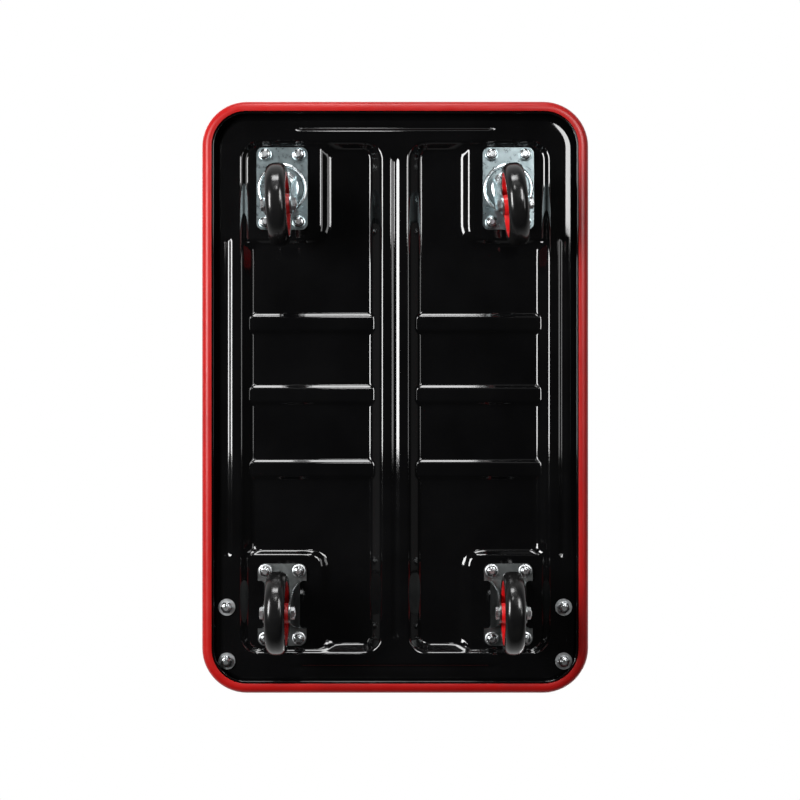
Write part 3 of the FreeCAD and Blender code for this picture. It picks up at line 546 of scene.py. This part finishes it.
def wheel_section():
    rim_out = (RIM_HIGH.z - RIM_LOW.z) / 2
    hub_half = (RIM_HIGH.x - RIM_LOW.x) / 2
    rim_half = hub_half - 2.5 * MM
    rim_in = rim_out - 5 * MM
    hub_out = 12 * MM
    bore = 6.05 * MM
    web = 3 * MM
    fillet = 2 * MM
    half = [
        (bore, hub_half - 0.4 * MM), (bore + 0.4 * MM, hub_half), (hub_out - 0.8 * MM, hub_half),
        (hub_out - 0.2 * MM, hub_half - 0.25 * MM), (hub_out, hub_half - 0.8 * MM),
    ]
    half += [(hub_out + 0.6 * MM, web + fillet + 1 * MM)]
    half += [(hub_out + 0.8 * MM + fillet * (1 - math.cos(a)), web + fillet * (1 - math.sin(a)))
             for a in (0.0, math.pi / 6, math.pi / 3, math.pi / 2)]
    half += [(rim_in - fillet * (1 - math.sin(a)) - 0.6 * MM, web + fillet * (1 - math.cos(a)))
             for a in (0.0, math.pi / 6, math.pi / 3, math.pi / 2)]
    half += [
        (rim_in - 0.1 * MM, rim_half - 0.7 * MM), (rim_in + 0.6 * MM, rim_half),
        (rim_out - 0.8 * MM, rim_half), (rim_out, rim_half - 0.6 * MM),
    ]
    return mirrored_section(half)


def lock_nut():
    """Points and faces of a nut along +Z: a chamfered hexagon, a round collar and the bolt's end."""
    corner = NUT_ACROSS / math.sqrt(3)
    inscribed = NUT_ACROSS / 2
    hex_top = NUT_HEIGHT - NUT_COLLAR
    bolt_top = NUT_HEIGHT + BOLT_END
    per_flat = 6
    hexagon = []
    for i in range(6):
        angle = math.radians(60 * i)
        hexagon.append((corner * math.cos(angle), corner * math.sin(angle)))
    ring = []
    for i in range(6):
        ax, ay = hexagon[i]
        bx, by = hexagon[(i + 1) % 6]
        for k in range(per_flat):
            ring.append((ax + (bx - ax) * k / per_flat, ay + (by - ay) * k / per_flat))

    def chamfered(limit, z):
        """The hexagon, cut back to a circle where it is wider than that."""
        layer = []
        for x, y in ring:
            scale = min(1.0, limit / math.hypot(x, y))
            layer.append((x * scale, y * scale, z))
        return layer

    def circle(radius, z):
        layer = []
        for x, y in ring:
            r = math.hypot(x, y)
            layer.append((x * radius / r, y * radius / r, z))
        return layer

    layers = [
        circle(BOLT_RADIUS, 0.0), circle(inscribed - 0.2 * MM, 0.0),
        chamfered(corner, 0.5 * MM), chamfered(corner, hex_top - 0.9 * MM),
        chamfered(inscribed + 0.35 * MM, hex_top - 0.25 * MM), circle(inscribed - 0.45 * MM, hex_top),
        circle(inscribed - 0.55 * MM, NUT_HEIGHT - 0.8 * MM),
        circle(inscribed - 1.0 * MM, NUT_HEIGHT - 0.2 * MM), circle(inscribed - 1.6 * MM, NUT_HEIGHT),
        circle(BOLT_RADIUS + 0.25 * MM, NUT_HEIGHT - 0.1 * MM),
        circle(BOLT_RADIUS, NUT_HEIGHT - 0.5 * MM), circle(BOLT_RADIUS, bolt_top - 0.7 * MM),
        circle(BOLT_RADIUS - 0.8 * MM, bolt_top), circle(BOLT_RADIUS - 1.9 * MM, bolt_top - 0.1 * MM),
        circle(BOLT_RADIUS - 2.4 * MM, bolt_top - 0.5 * MM), circle(0.15 * MM, bolt_top - 0.55 * MM),
    ]
    verts = []
    for layer in layers:
        verts += layer
    faces = grid_faces(len(layers), len(ring), wrap_columns=True)
    faces.append(tuple(range(len(ring) - 1, -1, -1)))
    faces.append(tuple(range(len(verts) - len(ring), len(verts))))
    return verts, faces


def hung_nuts(name, places, under, spins):
    """Nuts on bolts that point down, each turned by its own angle."""
    nut_verts, nut_faces = lock_nut()
    verts = []
    faces = []
    for (x, y), spin in zip(places, spins):
        offset = len(verts)
        turn = Matrix.Rotation(math.radians(spin), 3, "Z") @ Matrix.Diagonal((1, -1, -1)).to_3x3()
        for vert in nut_verts:
            point = turn @ Vector(vert)
            verts.append((point.x + x, point.y + y, point.z + under))
        faces += [tuple(i + offset for i in face) for face in nut_faces]
    piece = new_piece(name, verts, faces)
    outward_normals(piece)
    return piece


def hung_flanges(name, places, under):
    """The round flanges of nuts, dished a little towards their rims."""
    rim = FLANGE_RADIUS
    section = [
        (FLANGE_BORE, 0.0), (rim - 0.3 * MM, 0.0), (rim, 0.25 * MM), (rim - 0.1 * MM, 0.62 * MM),
        (rim - 0.6 * MM, 0.85 * MM), (FLANGE_NECK, 1.2 * MM), (FLANGE_BORE, 1.3 * MM),
    ]
    segments = 48
    verts = []
    faces = []
    for x, y in places:
        start = len(verts)
        for i in range(segments):
            angle = 2 * math.pi * i / segments
            verts += [(x + r * math.cos(angle), y + r * math.sin(angle), under - drop) for r, drop in section]
        faces += grid_faces(segments, len(section), wrap_rows=True, wrap_columns=True, start=start)
    piece = new_piece(name, verts, faces)
    outward_normals(piece)
    return piece


# ---- materials -------------------------------------------------------------------------------------------

class Nodes:
    """A short way to build one material's node tree."""

    def __init__(self, name):
        self.material = bpy.data.materials.new(name)
        self.material.use_nodes = True
        self.tree = self.material.node_tree
        self.shader = self.tree.nodes["Principled BSDF"]
        self.place = self.add("ShaderNodeTexCoord").outputs["Object"]

    def add(self, kind, **settings):
        node = self.tree.nodes.new(kind)
        for key, value in settings.items():
            setattr(node, key, value)
        return node

    def link(self, source, target):
        self.tree.links.new(source, target)

    def set(self, **values):
        for key, value in values.items():
            self.shader.inputs[key.replace("_", " ")].default_value = value

    def noise(self, scale, detail=3.0, rough=0.5, vector=None):
        node = self.add("ShaderNodeTexNoise")
        node.inputs["Scale"].default_value = scale
        node.inputs["Detail"].default_value = detail
        node.inputs["Roughness"].default_value = rough
        self.link(vector or self.place, node.inputs["Vector"])
        return node.outputs["Fac"]

    def ramp(self, source, stops):
        node = self.add("ShaderNodeValToRGB")
        while len(node.color_ramp.elements) < len(stops):
            node.color_ramp.elements.new(0.5)
        for element, (place, colour) in zip(node.color_ramp.elements, stops):
            element.position = place
            element.color = (*colour, 1.0)
        self.link(source, node.inputs["Fac"])
        return node.outputs["Color"]

    def between(self, source, low, high, from_low=0.3, from_high=0.7):
        node = self.add("ShaderNodeMapRange")
        node.inputs["From Min"].default_value = from_low
        node.inputs["From Max"].default_value = from_high
        node.inputs["To Min"].default_value = low
        node.inputs["To Max"].default_value = high
        self.link(source, node.inputs["Value"])
        return node.outputs["Result"]

    def bumps(self, *layers):
        """Each layer is (height source, strength, distance in metres)."""
        normal = None
        for source, strength, distance in layers:
            bump = self.add("ShaderNodeBump")
            bump.inputs["Strength"].default_value = strength
            bump.inputs["Distance"].default_value = distance
            self.link(source, bump.inputs["Height"])
            if normal is not None:
                self.link(normal, bump.inputs["Normal"])
            normal = bump.outputs["Normal"]
        self.link(normal, self.shader.inputs["Normal"])

    def colour(self, source):
        self.link(source, self.shader.inputs["Base Color"])

    def roughness(self, source):
        self.link(source, self.shader.inputs["Roughness"])


def deck_enamel():
    n = Nodes("gloss_black_enamel")
    n.set(IOR=1.5)
    dirt = n.noise(9.0, 5.0, 0.6)
    n.colour(n.ramp(dirt, ((0.35, (0.002, 0.002, 0.0022)), (0.75, (0.0042, 0.0042, 0.0045)))))
    n.roughness(n.between(n.noise(24.0, 4.0), 0.045, 0.085))
    peel = n.noise(420.0, 2.0)
    waves = n.noise(11.0, 2.0)
    n.bumps((waves, 0.12, 0.0012), (peel, 0.03, 0.0004))
    return n.material


def tube_enamel():
    n = Nodes("black_powder_coat")
    dirt = n.noise(30.0, 4.0)
    n.colour(n.ramp(dirt, ((0.3, (0.009, 0.009, 0.010)), (0.8, (0.013, 0.013, 0.014)))))
    n.roughness(n.between(n.noise(60.0, 4.0), 0.24, 0.30))
    n.bumps((n.noise(900.0, 2.0), 0.12, 0.0003))
    return n.material


def bumper_vinyl():
    n = Nodes("red_bumper_vinyl")
    n.set(IOR=1.42)
    shade = n.noise(14.0, 4.0, 0.55)
    n.colour(n.ramp(shade, ((0.3, (0.44, 0.0055, 0.005)), (0.7, (0.52, 0.009, 0.007)))))
    n.roughness(n.between(n.noise(80.0, 5.0), 0.32, 0.41))
    n.bumps((n.noise(9.0, 1.0), 0.25, 0.0015), (n.noise(1500.0, 2.0), 0.10, 0.0002))
    return n.material


def tyre_rubber():
    n = Nodes("black_tyre_rubber")
    dust = n.noise(35.0, 6.0, 0.62)
    n.colour(n.ramp(dust, ((0.35, (0.006, 0.006, 0.0065)), (0.75, (0.013, 0.0128, 0.0125)))))
    n.roughness(n.between(n.noise(90.0, 4.0), 0.15, 0.23))
    n.bumps((n.noise(45.0, 2.0), 0.06, 0.0006), (n.noise(1100.0, 2.0), 0.08, 0.0002))
    return n.material


def wheel_plastic():
    n = Nodes("red_wheel_plastic")
    shade = n.noise(40.0, 3.0)
    n.colour(n.ramp(shade, ((0.3, (0.62, 0.006, 0.008)), (0.7, (0.74, 0.012, 0.014)))))
    n.roughness(n.between(n.noise(120.0, 4.0), 0.26, 0.40))
    n.bumps((n.noise(700.0, 2.0), 0.08, 0.0002))
    return n.material


def zinc(name, light, dark, rough_low, rough_high, grain=1.0, dents=0.12):
    n = Nodes(name)
    n.set(Metallic=1.0)
    cloud = n.noise(55.0 * grain, 6.0, 0.66)
    n.colour(n.ramp(cloud, ((0.28, dark), (0.52, light), (0.78, tuple(min(1.0, c * 1.12) for c in light)))))
    n.roughness(n.between(n.noise(140.0 * grain, 5.0, 0.6), rough_low, rough_high))
    n.bumps((n.noise(240.0, 4.0, 0.6), dents, 0.0004), (n.noise(1400.0, 2.0), 0.08, 0.0002))
    return n.material


def mat_vinyl():
    n = Nodes("black_mat_vinyl")
    dust = n.noise(18.0, 6.0, 0.6)
    n.colour(n.ramp(dust, ((0.3, (0.014, 0.014, 0.015)), (0.8, (0.034, 0.033, 0.032)))))
    n.roughness(n.between(n.noise(50.0, 5.0), 0.55, 0.75))
    n.bumps((n.noise(1300.0, 3.0), 0.2, 0.0003))
    return n.material


def black_plastic():
    n = Nodes("black_plug_plastic")
    n.colour(n.ramp(n.noise(90.0, 3.0), ((0.3, (0.012, 0.012, 0.012)), (0.8, (0.022, 0.022, 0.022)))))
    n.roughness(n.between(n.noise(200.0, 3.0), 0.45, 0.6))
    n.bumps((n.noise(1500.0, 2.0), 0.15, 0.0002))
    return n.material


# ---- the pieces ------------------------------------------------------------------------------------------

def finish_piece(piece, body, material, slot, *nodes):
    piece.data.materials.clear()
    piece.data.materials.append(material)
    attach(piece, body)
    if nodes:
        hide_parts(*nodes)


def dress(node, material):
    """Gives a carried-over node its material."""
    NODES[node].data.materials.clear()
    NODES[node].data.materials.append(material)


ENAMEL = deck_enamel()
TUBE_ENAMEL = tube_enamel()
RED_VINYL = bumper_vinyl()
RUBBER = tyre_rubber()
RED_PLASTIC = wheel_plastic()
ZINC_PLATE = zinc("bright_zinc_plate", (0.40, 0.48, 0.50), (0.27, 0.34, 0.36), 0.25, 0.35, dents=0.05)
# A lighter copy of the plate zinc for the pressed races: a painted highlight, the bright arcs round each
# swivel plate.
ZINC_PAINTED_HIGHLIGHT = zinc("zinc_race_painted_highlight", (0.80, 0.86, 0.88), (0.62, 0.68, 0.70), 0.20, 0.30)
# A darker copy of the plate zinc for the rear casters' forks: painted shade.
ZINC_PAINTED_SHADE = zinc("zinc_plate_painted_shade", (0.30, 0.32, 0.32), (0.18, 0.20, 0.20), 0.28, 0.40)
ZINC_BOLT = zinc("zinc_fastener", (0.84, 0.86, 0.87), (0.62, 0.64, 0.66), 0.24, 0.36, 2.0)
ZINC_NUT = zinc("zinc_lock_nut", (0.66, 0.68, 0.69), (0.46, 0.48, 0.49), 0.14, 0.22, 2.0)
# Satin zinc for the bracket washers, also used as a lighter copy on the rear nuts' flanges: a painted
# highlight there.
ZINC_SATIN_AND_PAINTED_HIGHLIGHT = zinc("zinc_washer_satin_and_painted_highlight", (0.70, 0.72, 0.73), (0.52, 0.54, 0.55), 0.34, 0.48, 2.0)
STEEL = zinc("oiled_steel", (0.46, 0.46, 0.45), (0.30, 0.29, 0.28), 0.25, 0.4, 2.0)
MAT_VINYL = mat_vinyl()
BLACK_PLASTIC = black_plastic()

finish_piece(deck_piece(), "frame", ENAMEL, "deck_enamel", "deck")
finish_piece(hem_piece(), "frame", ENAMEL, "deck_enamel")
finish_piece(bumper_piece(), "frame", RED_VINYL, "bumper_vinyl", "bumper")
mat_back, mat_ribs = mat_piece()
finish_piece(mat_back, "frame", MAT_VINYL, "mat_vinyl", "deck_mat")
finish_piece(mat_ribs, "frame", MAT_VINYL, "mat_vinyl")


def wheel_pieces():
    for end in ("front", "rear"):
        for side in SIDES:
            place = end + "_" + side
            joint = JOINTS["wheel_" + place + "_spin"]
            axis = Vector(joint["axis"])
            turn = Vector((1, 0, 0)).rotation_difference(axis).to_matrix().to_4x4()
            seat = Matrix.Translation(Vector(joint["pos_m"])) @ turn
            for name, section, material, slot, node in (
                ("tyre_round_", tyre_section(), RUBBER, "tyre_rubber", "tyre_"),
                ("wheel_moulding_", wheel_section(), RED_PLASTIC, "wheel_plastic", "wheel_centre_"),
            ):
                piece = turned(name + place, section)
                piece.data.transform(seat)
                finish_piece(piece, "wheel_" + place, material, slot, node + place)


wheel_pieces()


def race_ring(name, middle, radius, half_width, depth, under):
    """A round bulge pressed out of a plate, whose flat underside lies at a given height."""
    section = []
    for i in range(13):
        share = i / 6 - 1
        section.append((radius + share * half_width, under - depth * (1 - share * share) ** 1.5))
    section += [(radius + half_width, under + RACE_SINK), (radius - half_width, under + RACE_SINK)]
    verts = []
    segments = 72
    for i in range(segments):
        angle = 2 * math.pi * i / segments
        verts += [(middle.x + r * math.cos(angle), middle.y + r * math.sin(angle), z) for r, z in section]
    piece = new_piece(name, verts, grid_faces(segments, len(section), wrap_rows=True, wrap_columns=True))
    outward_normals(piece)
    return piece


def race_rings():
    plate_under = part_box("swivel_plate_left")[1].z - PLATE_THICKNESS
    crown_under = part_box("swivel_balls_left")[0].z - CROWN_UNDER_BALLS
    for side in SIDES:
        middle = Vector(JOINTS["swivel_" + side + "_turn"]["pos_m"])
        # Both races take the lighter copy of the plate zinc, a painted highlight.
        outer = race_ring("plate_race_" + side, middle, *PLATE_RACE, plate_under)
        finish_piece(outer, "frame", ZINC_PAINTED_HIGHLIGHT, "zinc_pressings")
        inner = race_ring("crown_race_" + side, middle, *CROWN_RACE, crown_under)
        finish_piece(inner, "swivel_" + side, ZINC_PAINTED_HIGHLIGHT, "zinc_pressings")


race_rings()


def centres_of(node):
    """Plan centres of the separate solids in a node."""
    mesh = bmesh.new()
    mesh.from_mesh(NODES[node].data)
    bmesh.ops.remove_doubles(mesh, verts=mesh.verts, dist=1e-6)
    seen = set()
    centres = []
    for vert in mesh.verts:
        if vert.index in seen:
            continue
        group = [vert]
        seen.add(vert.index)
        for v in group:
            for edge in v.link_edges:
                other = edge.other_vert(v)
                if other.index not in seen:
                    seen.add(other.index)
                    group.append(other)
        xs = [v.co.x for v in group]
        ys = [v.co.y for v in group]
        centres.append(((min(xs) + max(xs)) / 2, (min(ys) + max(ys)) / 2))
    mesh.free()
    return sorted(centres)


def spun(count, step):
    """Different but repeatable turns for a row of nuts."""
    return [(i * step) % 60 for i in range(count)]


for nut_node, nut_name, under in (
    ("caster_nuts", "caster_lock_nuts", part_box("caster_nuts")[1].z),
    ("bracket_nuts", "bracket_lock_nuts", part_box("bracket_nuts")[1].z),
):
    nut_places = centres_of(nut_node)
    nuts = hung_nuts(nut_name, nut_places, under, spun(len(nut_places), 37))
    finish_piece(nuts, "frame", ZINC_NUT, "zinc_fasteners", nut_node)
    if nut_node == "caster_nuts":
        # The front flanges match their plate's zinc; the rear ones take the lighter satin zinc, a painted
        # highlight round the rear nuts.
        for end, way, finish in (("front", -1, ZINC_PLATE), ("rear", 1, ZINC_SATIN_AND_PAINTED_HIGHLIGHT)):
            places = [place for place in nut_places if way * place[1] > 0]
            flanges = hung_flanges("caster_nut_flanges_" + end, places, under)
            finish_piece(flanges, "frame", finish, "zinc_fasteners")

for node in ("caster_bolts", "bracket_bolts", "handle_pivot_bolts", "handle_pivot_nuts"):
    dress(node, ZINC_BOLT)
dress("bracket_washers", ZINC_SATIN_AND_PAINTED_HIGHLIGHT)
for side in SIDES:
    dress("swivel_plate_" + side, ZINC_PLATE)
    dress("swivel_fork_" + side, ZINC_PLATE)
    # The rear casters' forks take the darker copy of the plate zinc, painted shade.
    dress("rigid_fork_" + side, ZINC_PAINTED_SHADE)
    dress("kingpin_" + side, STEEL)
    dress("swivel_balls_" + side, STEEL)
    dress("handle_bracket_" + side, TUBE_ENAMEL)
    for end in ("front", "rear"):
        dress("axle_bolt_" + end + "_" + side, ZINC_BOLT)
        dress("axle_nut_" + end + "_" + side, ZINC_BOLT)
        dress("axle_sleeve_" + end + "_" + side, STEEL)
dress("handle_tube", TUBE_ENAMEL)
dress("handle_plugs", BLACK_PLASTIC)


# ---- camera, floor and light -----------------------------------------------------------------------------

CAMERA_BELOW = 1.6695
CAMERA_X = 0.006
CAMERA_Y = 0.0034
LENS = 64.2                # for a sensor 36 mm wide
FLOOR_GAP = 0.001
FADE_FROM = -0.25          # heights of a ray's direction between which the world grows bright
FADE_TO = 0.6
WORLD_DIM = 0.028
WORLD_BRIGHT = 1.15


def make_camera():
    """Straight below the truck, looking up. Its near limit lies between the floor and the wheels."""
    data = bpy.data.cameras.new("camera")
    data.lens = LENS
    data.sensor_width = 36
    data.clip_start = CAMERA_BELOW - FLOOR_GAP / 2
    data.clip_end = 50
    camera = bpy.data.objects.new("camera", data)
    camera.location = (CAMERA_X, CAMERA_Y, -CAMERA_BELOW)
    camera.rotation_euler = (math.pi, 0, 0)
    bpy.context.scene.collection.objects.link(camera)
    bpy.context.scene.camera = camera


def make_floor():
    """A pale floor under the wheels. It lets the lights below it through."""
    half = 30.0
    z = -FLOOR_GAP
    corners = [(-half, -half, z), (half, -half, z), (half, half, z), (-half, half, z)]
    floor = new_piece("floor", corners, [(0, 1, 2, 3)])
    n = Nodes("pale_floor")
    n.colour(n.ramp(n.noise(3.0, 4.0), ((0.3, (0.85, 0.85, 0.85)), (0.7, (0.88, 0.88, 0.877)))))
    n.set(Roughness=0.7)
    floor.data.materials.append(n.material)
    floor.visible_shadow = False
    floor.visible_diffuse = False
    floor.visible_glossy = False
    floor.visible_transmission = False


def softbox(name, place, target, width, height, power, lights_diffuse=True, shape="RECTANGLE"):
    data = bpy.data.lights.new(name, "AREA")
    data.shape = shape
    data.size = width
    data.size_y = height
    data.energy = power
    light = bpy.data.objects.new(name, data)
    light.location = place
    towards = Vector(target) - Vector(place)
    light.rotation_euler = towards.to_track_quat("-Z", "Y").to_euler()
    light.visible_camera = False
    light.visible_diffuse = lights_diffuse
    bpy.context.scene.collection.objects.link(light)


def make_world():
    """White where the camera looks past the truck, dim below it and bright above it for reflections."""
    world = bpy.data.worlds.new("studio")
    bpy.context.scene.world = world
    world.use_nodes = True
    tree = world.node_tree
    tree.nodes.clear()
    out = tree.nodes.new("ShaderNodeOutputWorld")
    white = tree.nodes.new("ShaderNodeBackground")
    white.inputs["Color"].default_value = (1.0, 1.0, 1.0, 1.0)
    white.inputs["Strength"].default_value = 1.0
    around = tree.nodes.new("ShaderNodeBackground")
    place = tree.nodes.new("ShaderNodeTexCoord")
    split = tree.nodes.new("ShaderNodeSeparateXYZ")
    fade = tree.nodes.new("ShaderNodeMapRange")
    fade.inputs["From Min"].default_value = FADE_FROM
    fade.inputs["From Max"].default_value = FADE_TO
    fade.inputs["To Min"].default_value = WORLD_DIM
    fade.inputs["To Max"].default_value = WORLD_BRIGHT
    path = tree.nodes.new("ShaderNodeLightPath")
    mix = tree.nodes.new("ShaderNodeMixShader")
    tree.links.new(place.outputs["Generated"], split.inputs["Vector"])
    tree.links.new(split.outputs["Z"], fade.inputs["Value"])
    tree.links.new(fade.outputs["Result"], around.inputs["Strength"])
    tree.links.new(path.outputs["Is Camera Ray"], mix.inputs["Fac"])
    tree.links.new(around.outputs["Background"], mix.inputs[1])
    tree.links.new(white.outputs["Background"], mix.inputs[2])
    tree.links.new(mix.outputs["Shader"], out.inputs["Surface"])


make_camera()
make_floor()
make_world()
softbox("key_left", (-1.18, -0.36, -1.17), (0, -0.3, 0.12), 1.0, 0.44, 33)
softbox("fill_right", (1.3, -0.36, -1.15), (0, -0.3, 0.12), 1.0, 0.34, 4)
softbox("right_corner", (0.81, -0.79, -1.35), (0.81, -0.5, 0.12), 0.48, 0.8, 20, lights_diffuse=False)
softbox("front", (0, -1.5, -0.99), (0, -0.35, 0.12), 0.9, 0.16, 0.5)
softbox("low_front", (-0.15, -2.0, -0.62), (0, -0.1, 0.12), 0.75, 0.45, 16)
softbox("round_front", (-0.1, -1.35, -1.3), (0, -0.1, 0.1), 0.22, 0.22, 2.4, shape="ELLIPSE")
softbox("overhead", (-0.8, -1.2, 2.6), (0, 0, 0.2), 1.6, 1.6, 30)
softbox("overhead_back", (1.2, 1.6, 2.2), (0, 0, 0.3), 1.2, 1.2, 16)

scene = bpy.context.scene
scene.view_settings.view_transform = "Standard"
scene.view_settings.look = "None"
